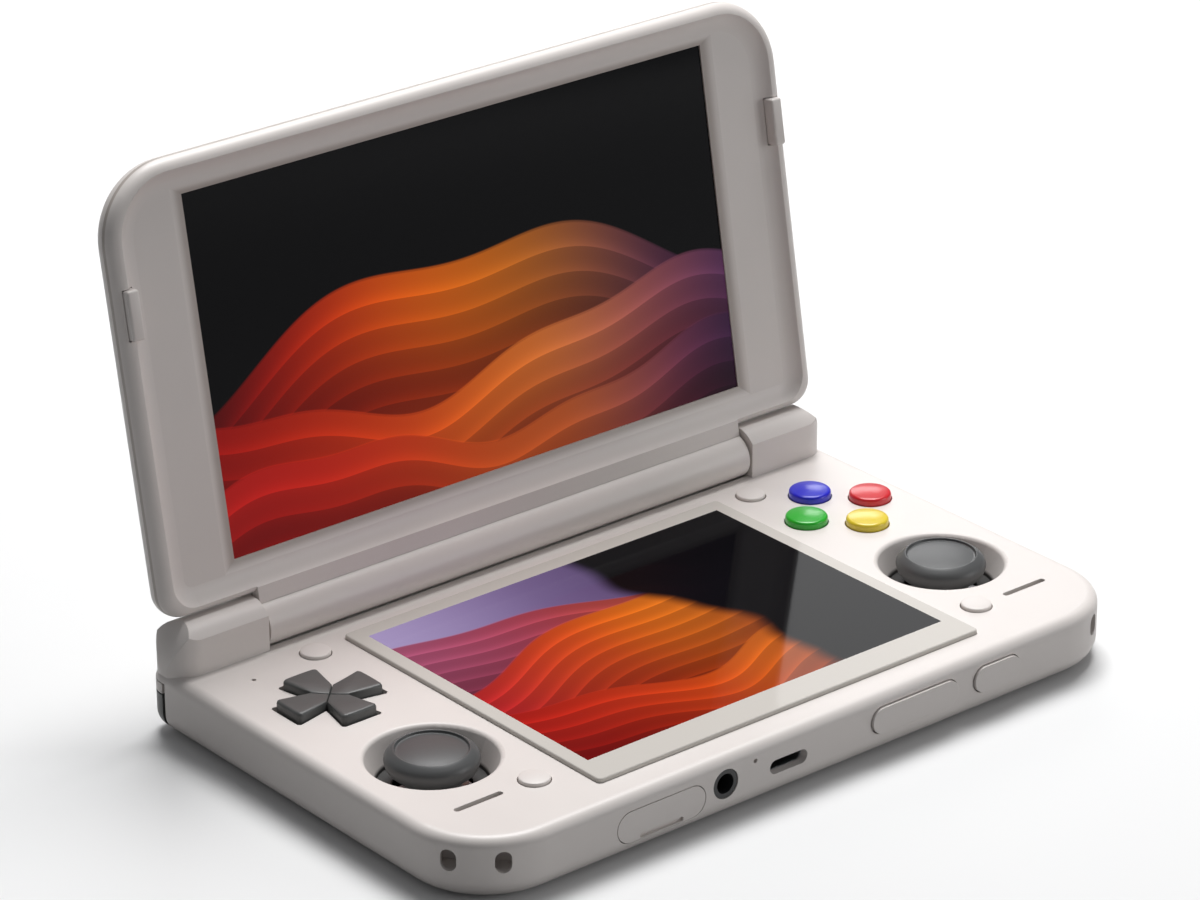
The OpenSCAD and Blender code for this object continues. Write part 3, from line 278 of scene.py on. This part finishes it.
def turned(bm, profile, centre, steps=96):
    """Spins a profile of (radius, height) points in mm round the upright axis at centre."""
    points = [bm.verts.new((r * MM, 0, z * MM)) for r, z in profile]
    edges = [bm.edges.new(pair) for pair in zip(points, points[1:])]
    bmesh.ops.spin(
        bm, geom=points + edges, cent=(0, 0, 0), axis=(0, 0, 1), angle=math.tau, steps=steps,
        use_merge=True,
    )
    bmesh.ops.remove_doubles(bm, verts=bm.verts, dist=1e-6)
    bmesh.ops.translate(bm, verts=bm.verts, vec=centre)


def arc(cx, cz, r, start, end, steps):
    """Points of a circular arc for a profile, angles in degrees."""
    turns = [math.radians(start + (end - start) * i / steps) for i in range(steps + 1)]
    return [(cx + r * math.cos(a), cz + r * math.sin(a)) for a in turns]


def take_over(node, piece, body, material):
    """The piece stands for a CAD node, on its body and in its material slot."""
    piece.data.materials.append(material)
    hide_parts(node)
    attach(piece, body)


def join(bm, other):
    """Adds the faces of another bmesh and frees it."""
    mesh = bpy.data.meshes.new("join")
    other.to_mesh(mesh)
    other.free()
    bm.from_mesh(mesh)
    bpy.data.meshes.remove(mesh)


# Round keys: profile points in mm from the deck upwards and from the key's axis outwards
KEY_FOOT = -2.7
KEY_FLANGE = 0.8
KEY_FLANGE_TOP = -1.8
FACE_KEY = {"radius": 3.9, "side": 1.4, "dome": 0.36, "round_r": 0.55}
MENU_KEY = {"radius": 2.7, "side": 0.62, "dome": 0.22, "round_r": 0.28}


def key_profile(radius, side, dome, round_r):
    """Flange, side, rounded shoulder and gently domed top."""
    top_r = radius - round_r
    crown = (top_r**2 + dome**2) / (2 * dome)
    lean = math.degrees(math.asin(top_r / crown))
    flange_r = radius + KEY_FLANGE
    crown_z = side + dome - crown - round_r * (1 - math.cos(math.radians(lean)))
    return (
        [(0, KEY_FOOT), (flange_r, KEY_FOOT), (flange_r, KEY_FLANGE_TOP)]
        + [(radius, KEY_FLANGE_TOP), (radius, 0)]
        + arc(top_r, side - round_r, round_r, 0, 90 - lean, 6)
        + arc(0, crown_z, crown, 90 - lean, 90, 8)[1:]
    )


def deck_place(node):
    """The middle of a piece in the deck's plane."""
    place = middle(node)
    return Vector((place.x, place.y, DECK))


def round_key(node, sizes, material):
    bm = bmesh.new()
    turned(bm, key_profile(**sizes), deck_place(node))
    take_over(node, new_piece(node + "_finish", bm, 35), node, material)


def stick_top(side):
    """Thumb cap: hub, dust skirt on a sphere about the pivot, round side, crest with a step
    inside, and a low convex dish."""
    profile = (
        [(1, -4.6), (2.6, -4.6), (2.6, -3), (4.5, -3), (5.2, -3.8), (5.7, -3.8)]
        + [(5.46, -3.3), (5.13, -2.75), (6.3, -2.75)]
        + [(6.75, -2.68), (7.15, -2.5), (7.5, -2.18), (7.75, -1.75), (7.93, -1.25), (8.04, -0.8)]
        + [(8.08, -0.4), (8.02, 0), (7.87, 0.36), (7.63, 0.68), (7.33, 0.96), (6.97, 1.2)]
        + arc(6.42, 1.38, 0.19, 60, 185, 5)
        + [(6.16, 1.14), (6.05, 1.08)]
        + [(5.7, 1.14), (4.9, 1.29), (3.7, 1.46), (2.4, 1.57), (1.2, 1.62), (0, 1.64)]
    )
    bm = bmesh.new()
    turned(bm, profile, deck_place(f"{side}_stick_cap"), 128)
    piece = new_piece(f"{side}_stick_cap_finish", bm, 50)
    take_over(f"{side}_stick_cap", piece, f"{side}_stick", STICK)


def softened(node, body, material, width):
    """The CAD solid with its edges rounded, width in mm."""
    bm = bmesh.new()
    bm.from_mesh(NODES[node].data)
    bmesh.ops.remove_doubles(bm, verts=bm.verts, dist=1e-6)
    bmesh.ops.dissolve_limit(
        bm, angle_limit=math.radians(1), verts=bm.verts, edges=bm.edges, delimit={"NORMAL"}
    )
    sharp = [e for e in bm.edges if len(e.link_faces) == 2 and e.calc_face_angle(0) > 0.5]
    bmesh.ops.bevel(
        bm, geom=sharp, offset=width * MM, segments=4, profile=0.5, affect="EDGES", material=-1
    )
    take_over(node, new_piece(node + "_finish", bm, 40), body, material)


# Direction pad, in mm from its middle and from the deck
PAD_TOP = 1.75
PAD_DIP = 0.45
PAD_FOOT = -3.0
PAD_NOTCH = 2.2
PAD_ARM = ((8.15, 3.56), (8.5, 3.45), (8.76, 3.15), (8.9, 2.7), (8.95, 1.3))
PAD_EDGE = 0.6
PAD_GROOVE = 0.3
PAD_CORE = 4.2
PAD_CORE_TOP = PAD_TOP - PAD_DIP - PAD_GROOVE - 0.1
PAD_FLANGE = [(0, -3.5), (9.5, -3.5), (9.5, -2.65), (0, -2.65)]


def pad_arm(bm, turn):
    """One arm, from the middle to its rounded tip; its edges along the notches make the grooves."""
    side = [(0.02, 0), (PAD_NOTCH, PAD_NOTCH - 0.03), *PAD_ARM]
    outline = [(x, -y) for x, y in side] + [(x, y) for x, y in reversed(side[1:])]
    rise = PAD_DIP / PAD_ARM[-1][0]
    top = [
        bm.verts.new((x * MM, y * MM, (PAD_TOP - PAD_DIP + rise * x) * MM)) for x, y in outline
    ]
    low = [bm.verts.new((x * MM, y * MM, PAD_FOOT * MM)) for x, y in outline]
    bm.faces.new(top)
    bm.faces.new(reversed(low))
    count = len(outline)
    for i in range(count):
        j = (i + 1) % count
        bm.faces.new((top[i], low[i], low[j], top[j]))
    bmesh.ops.recalc_face_normals(bm, faces=bm.faces)
    inner = [e for e in top[0].link_edges if e.other_vert(top[0]) in top]
    bmesh.ops.bevel(
        bm, geom=inner, offset=PAD_GROOVE * MM, segments=3, profile=0.5, affect="EDGES", material=-1
    )
    outer = []
    for edge in bm.edges:
        tilts = sorted(face.normal.z for face in edge.link_faces)
        middles = [face.calc_center_median().x for face in edge.link_faces]
        if tilts[-1] > 0.99 and abs(tilts[0]) < 0.1 and min(middles) > PAD_NOTCH * MM:
            outer.append(edge)
    bmesh.ops.bevel(
        bm, geom=outer, offset=PAD_EDGE * MM, segments=4, profile=0.5, affect="EDGES", material=-1
    )
    bmesh.ops.rotate(bm, verts=bm.verts, cent=(0, 0, 0), matrix=Matrix.Rotation(turn, 3, "Z"))


def direction_pad():
    """Four arms that widen to their tips, on a core that closes the grooves, and the flange."""
    bm = bmesh.new()
    centre = deck_place("dpad")
    for quarter in range(4):
        arm = bmesh.new()
        pad_arm(arm, quarter * math.pi / 2)
        join(bm, arm)
    core = bmesh.ops.create_cube(bm, size=1)["verts"]
    core_size = Vector((PAD_CORE, PAD_CORE, PAD_CORE_TOP - PAD_FOOT)) * MM
    bmesh.ops.scale(bm, verts=core, vec=core_size)
    bmesh.ops.translate(bm, verts=core, vec=(0, 0, (PAD_FOOT + PAD_CORE_TOP) / 2 * MM))
    bmesh.ops.translate(bm, verts=bm.verts, vec=centre)
    flange = bmesh.new()
    turned(flange, PAD_FLANGE, centre)
    join(bm, flange)
    piece = new_piece("dpad_finish", bm, 40)
    take_over("dpad", piece, "dpad", DARK_KEYS)


# ---------------------------------------------------------------- screens


def glowing_screen(name, turn, corner, size, picture, border, gloss):
    """Glass over a display. corner is the picture's low left corner and size its width and
    height in metres, in the turned directions; outside it the glass shows its border."""
    glass = Shader(name)
    place = glass.place(turn=turn)
    x, y, _ = glass.split(place)
    s = glass.math("DIVIDE", glass.math("SUBTRACT", x, corner[0]), size[0])
    t = glass.math("DIVIDE", glass.math("SUBTRACT", y, corner[1]), size[1])
    across, up = (
        glass.math(
            "MULTIPLY",
            glass.math("GREATER_THAN", value, 0.0),
            glass.math("LESS_THAN", value, 1.0),
        )
        for value in (s, t)
    )
    inside = glass.math("MULTIPLY", across, up)
    light = picture(glass, s, t)
    glass.surface(
        color=glass.mix(inside, border, (0.004, 0.004, 0.005)),
        roughness=0.06,
        **{
            "Emission Color": glass.mix(inside, (0, 0, 0), light),
            "Emission Strength": 1.0,
            "Specular IOR Level": gloss,
        },
    )
    return glass.material


def swell(shader, s, t, height, rise, sway, pitch):
    """How far below a rolling crest line a point lies; negative above it."""
    wave = shader.math("SINE", shader.math("MULTIPLY_ADD", s, sway, pitch))
    ripple = shader.math("SINE", shader.math("MULTIPLY_ADD", s, sway * 2.7, pitch * 1.9))
    crest = shader.math("MULTIPLY_ADD", wave, rise, height)
    crest = shader.math("MULTIPLY_ADD", ripple, rise * 0.3, crest)
    return shader.math("SUBTRACT", crest, t)


def strata(shader, depth, count):
    """Thin darker lines that follow a crest, fading from one to the next."""
    saw = shader.math("FRACT", shader.math("MULTIPLY", depth, count))
    return shader.math("MULTIPLY_ADD", shader.math("POWER", saw, 3.0), 0.4, 0.6)


def rolling_land(shader, s, t, sky, layers):
    """Layers of land from far to near. Each has its crest line, a ramp along s and how fast it
    darkens below the crest."""
    seen = sky
    for crest, colors, fall in layers:
        depth = swell(shader, s, t, *crest)
        tone = shader.ramp(s, colors)
        deep = shader.mix(1.0, tone, (0.32, 0.16, 0.2), "MULTIPLY")
        ground = shader.mix(shader.between(depth, 0.0, fall), tone, deep)
        ground = shader.mix(1.0, ground, strata(shader, depth, 14), "MULTIPLY")
        seen = shader.mix(shader.between(depth, -0.006, 0.006), seen, ground)
    return seen


def dunes_picture(shader, s, t):
    """Black sky over layered dunes that run from red through orange to violet."""
    far = [
        (0.0, (0.02, 0.0, 0.002)), (0.22, (0.6, 0.01, 0.004)), (0.42, (0.9, 0.16, 0.005)),
        (0.62, (0.5, 0.16, 0.01)), (0.82, (0.1, 0.025, 0.07)), (1.0, (0.015, 0.004, 0.03)),
    ]
    middle_land = [
        (0.0, (0.3, 0.0, 0.004)), (0.35, (0.8, 0.04, 0.004)), (0.6, (0.85, 0.24, 0.02)),
        (0.8, (0.4, 0.1, 0.1)), (1.0, (0.05, 0.02, 0.1)),
    ]
    near = [
        (0.0, (0.5, 0.01, 0.01)), (0.3, (0.7, 0.02, 0.006)), (0.65, (0.6, 0.14, 0.01)),
        (0.85, (0.2, 0.04, 0.09)), (1.0, (0.02, 0.01, 0.05)),
    ]
    return rolling_land(shader, s, t, (0.0004, 0.0004, 0.0005), [
        ((0.5, 0.15, 4.4, -0.5), far, 0.35),
        ((0.33, 0.08, 6.2, 2.4), middle_land, 0.28),
        ((0.15, 0.06, 7.6, 0.4), near, 0.22),
    ])


def reflected_tide_picture(shader, s, t):
    """Red to orange land under lavender, partly picture and partly a painted reflection of the lid and its screen,
    black past a slanted edge on the right.
    """
    # painted reflection: the lavender sky, lighter on the left, stands for the lid reflected in the glass
    reflection_sky = shader.ramp(s, [
        (0.0, (0.4, 0.32, 0.55)), (0.4, (0.14, 0.08, 0.22)), (1.0, (0.01, 0.008, 0.02)),
    ])
    far = [
        (0.0, (0.5, 0.12, 0.24)), (0.35, (0.5, 0.05, 0.08)), (0.6, (0.6, 0.1, 0.05)),
        (1.0, (0.05, 0.01, 0.05)),
    ]
    middle_land = [
        (0.0, (0.6, 0.01, 0.03)), (0.35, (0.9, 0.09, 0.01)), (0.6, (1.0, 0.27, 0.01)),
        (0.85, (0.4, 0.06, 0.03)), (1.0, (0.04, 0.01, 0.03)),
    ]
    near = [
        (0.0, (0.55, 0.006, 0.01)), (0.4, (0.85, 0.06, 0.006)), (0.65, (1.0, 0.24, 0.01)),
        (1.0, (0.1, 0.01, 0.02)),
    ]
    land = rolling_land(shader, s, t, reflection_sky, [
        ((0.8, 0.08, 5.0, 1.4), far, 0.5),
        ((0.62, 0.1, 4.2, -0.9), middle_land, 0.6),
        ((0.3, 0.09, 5.6, 2.2), near, 0.4),
    ])
    # painted reflection: the slanted edge where the reflection of the lid ends; past it the screen is black
    reflection_edge = shader.math("MULTIPLY_ADD", t, 0.18, s)
    reflection_edge = shader.math("ADD", swell(shader, t, 0.0, 0.0, 0.03, 9.0, 1.0), reflection_edge)
    return shader.mix(shader.between(reflection_edge, 0.7, 0.76), land, (0.0006, 0.0005, 0.0008))


# ---------------------------------------------------------------- finishes

SHELL_TONE = (0.77, 0.72, 0.69)
UNTINTED = (1, 1, 1)

# Directions of the open lid: along it, away from the hinge, and out of its inner face
LID_ALONG = Vector((0, -math.cos(LID_TURN), -math.sin(LID_TURN)))
LID_OUT = Vector((0, math.sin(LID_TURN), -math.cos(LID_TURN)))

# Heights out of the lid between which the painted shade on its slope fades out, and the colour of that painted
# shade
SLOPE_SHADE_EDGE = (-0.1 * MM, 0.19 * MM)
SLOPE_SHADE_TINT = (0.6, 0.57, 0.55)

# Painted shade on the floor of a stick well: its reach from the stick, and the heights over which it fades out
# going up
WELL_SHADE_REACH = 10.5 * MM
WELL_SHADE_EDGE = (DECK - 4.9 * MM, DECK - 4.1 * MM)
WELL_SHADE_TINT = (0.03, 0.03, 0.03)


def painted_slope_shade(paint, place):
    """Painted shade: the slope round the upper screen is painted darker and warmer than the rest of the lid."""
    _, y, z = paint.split(place)
    out = paint.math("MULTIPLY_ADD", y, LID_OUT.y, -HINGE.dot(LID_OUT))
    out = paint.math("MULTIPLY_ADD", z, LID_OUT.z, out)
    return paint.mix(paint.between(out, *SLOPE_SHADE_EDGE), SLOPE_SHADE_TINT, UNTINTED)


def painted_well_shade(paint, place):
    """Painted shade: the floors of the stick wells, in the shade under the caps, are painted near black."""
    x, y, z = paint.split(place)
    stick = middle("right_stick_cap")
    across = paint.math("SUBTRACT", paint.math("ABSOLUTE", x), stick.x)
    along = paint.math("SUBTRACT", y, stick.y)
    square = paint.math("MULTIPLY_ADD", across, across, paint.math("MULTIPLY", along, along))
    near = paint.math("LESS_THAN", paint.math("SQRT", square), WELL_SHADE_REACH)
    high = paint.between(z, *WELL_SHADE_EDGE)
    return paint.mix(paint.math("SUBTRACT", near, high, clamp=True), UNTINTED, WELL_SHADE_TINT)


SHELL = moulded("shell_plastic", SHELL_TONE, 0.42)
# The base's top shell, with painted shade on the floors of the stick wells
TOP_PAINT_WITH_SHADE = moulded("top_plastic_with_painted_shade", SHELL_TONE, 0.42, shade=painted_well_shade)
# The lid's front frame, with painted shade on the slope round the upper screen
LID_PAINT_WITH_SHADE = moulded("lid_plastic_with_painted_shade", SHELL_TONE, 0.42, shade=painted_slope_shade)
DARK_KEYS = moulded("dark_key_plastic", (0.085, 0.087, 0.085), 0.42, grain=0.25, edge=0.06)
STICK = moulded(
    "stick_rubber", (0.085, 0.087, 0.088), 0.4, grain=0.2, grain_depth=0.008, edge=0.05
)
BLACK = moulded("black_plastic", (0.02, 0.02, 0.021), 0.45)
RUBBER = moulded("foot_rubber", (0.03, 0.03, 0.03), 0.8, grain_depth=0.015)
SILICONE = moulded("dome_silicone", (0.33, 0.33, 0.33), 0.6)
ACETAL = moulded("acetal", (0.7, 0.69, 0.64), 0.35)
BOARD = moulded("solder_mask", (0.015, 0.13, 0.05), 0.35, mottle=0.1)
WRAP = moulded("battery_wrap", (0.05, 0.05, 0.055), 0.4)
RIBBON = moulded("ribbon_film", (0.5, 0.26, 0.05), 0.3)
STEEL = moulded(
    "stamped_steel", (0.55, 0.55, 0.57), 0.3, grain=0.15, grain_depth=0.002, Metallic=1.0
)
COPPER = moulded("copper_fins", (0.75, 0.38, 0.25), 0.3, grain_depth=0.002, Metallic=1.0)

KEY_COLORS = {
    color: moulded(
        f"{color}_key_plastic", tone, 0.3, grain_depth=0.001, edge=0.1,
        **{"Coat Weight": 0.3, "Coat Roughness": 0.15},
    )
    for color, tone in {
        "blue": (0.012, 0.014, 0.6), "red": (0.66, 0.014, 0.024),
        "yellow": (0.78, 0.6, 0.03), "green": (0.012, 0.44, 0.018),
    }.items()
}

# The pictures' sizes, and their near edges from the middle of the base and from the hinge's axis
LOW_VIEW = (79.7 * MM, 59.8 * MM)
LOW_NEAR = -32.25 * MM
UP_VIEW = (114.8 * MM, 65 * MM)
UP_NEAR = 12.4 * MM
LOWER_SCREEN = glowing_screen(
    "lower_screen", (0, 0, 0), (-LOW_VIEW[0] / 2, LOW_NEAR), LOW_VIEW, reflected_tide_picture,
    border=(0.6, 0.57, 0.53), gloss=0.04,
)
UPPER_SCREEN = glowing_screen(
    "upper_screen", (-math.pi - LID_TURN, 0, 0),
    (-UP_VIEW[0] / 2, HINGE.dot(LID_ALONG) + UP_NEAR), UP_VIEW, dunes_picture,
    border=(0.01, 0.01, 0.01), gloss=0.08,
)

SLOT_FINISH = {
    "shell": SHELL, "dark_keys": DARK_KEYS, "stick_rubber": STICK, "black_plastic": BLACK,
    "rubber": RUBBER, "silicone": SILICONE, "white_plastic": ACETAL, "circuit_board": BOARD,
    "battery_wrap": WRAP, "ribbon": RIBBON, "steel": STEEL, "copper": COPPER, "display": BLACK,
    "screen_glass": BLACK,
}
NODE_FINISH = {
    "lower_glass": LOWER_SCREEN, "upper_glass": UPPER_SCREEN, "lid_front_frame": LID_PAINT_WITH_SHADE,
    "base_top_shell": TOP_PAINT_WITH_SHADE,
}


def finish_frame():
    """Every CAD node takes the material of its slot, or its own."""
    slots = {part["node"]: part["material_slot"] for part in frame["record"]["subparts"]}
    for node, piece in NODES.items():
        finish = NODE_FINISH.get(node) or SLOT_FINISH.get(slots[node], BLACK)
        piece.data.materials.clear()
        piece.data.materials.append(finish)


finish_frame()
for place, color in {"back": "blue", "right": "red", "front": "yellow", "left": "green"}.items():
    round_key(f"face_button_{place}", FACE_KEY, KEY_COLORS[color])
for key in ("select", "start", "home", "back"):
    round_key(key + "_button", MENU_KEY, SHELL)
for side in ("left", "right"):
    stick_top(side)
softened("lid_bumpers", "lid", SHELL, 0.45)
direction_pad()

photograph_view()
studio()
bpy.context.scene.view_settings.view_transform = "Standard"
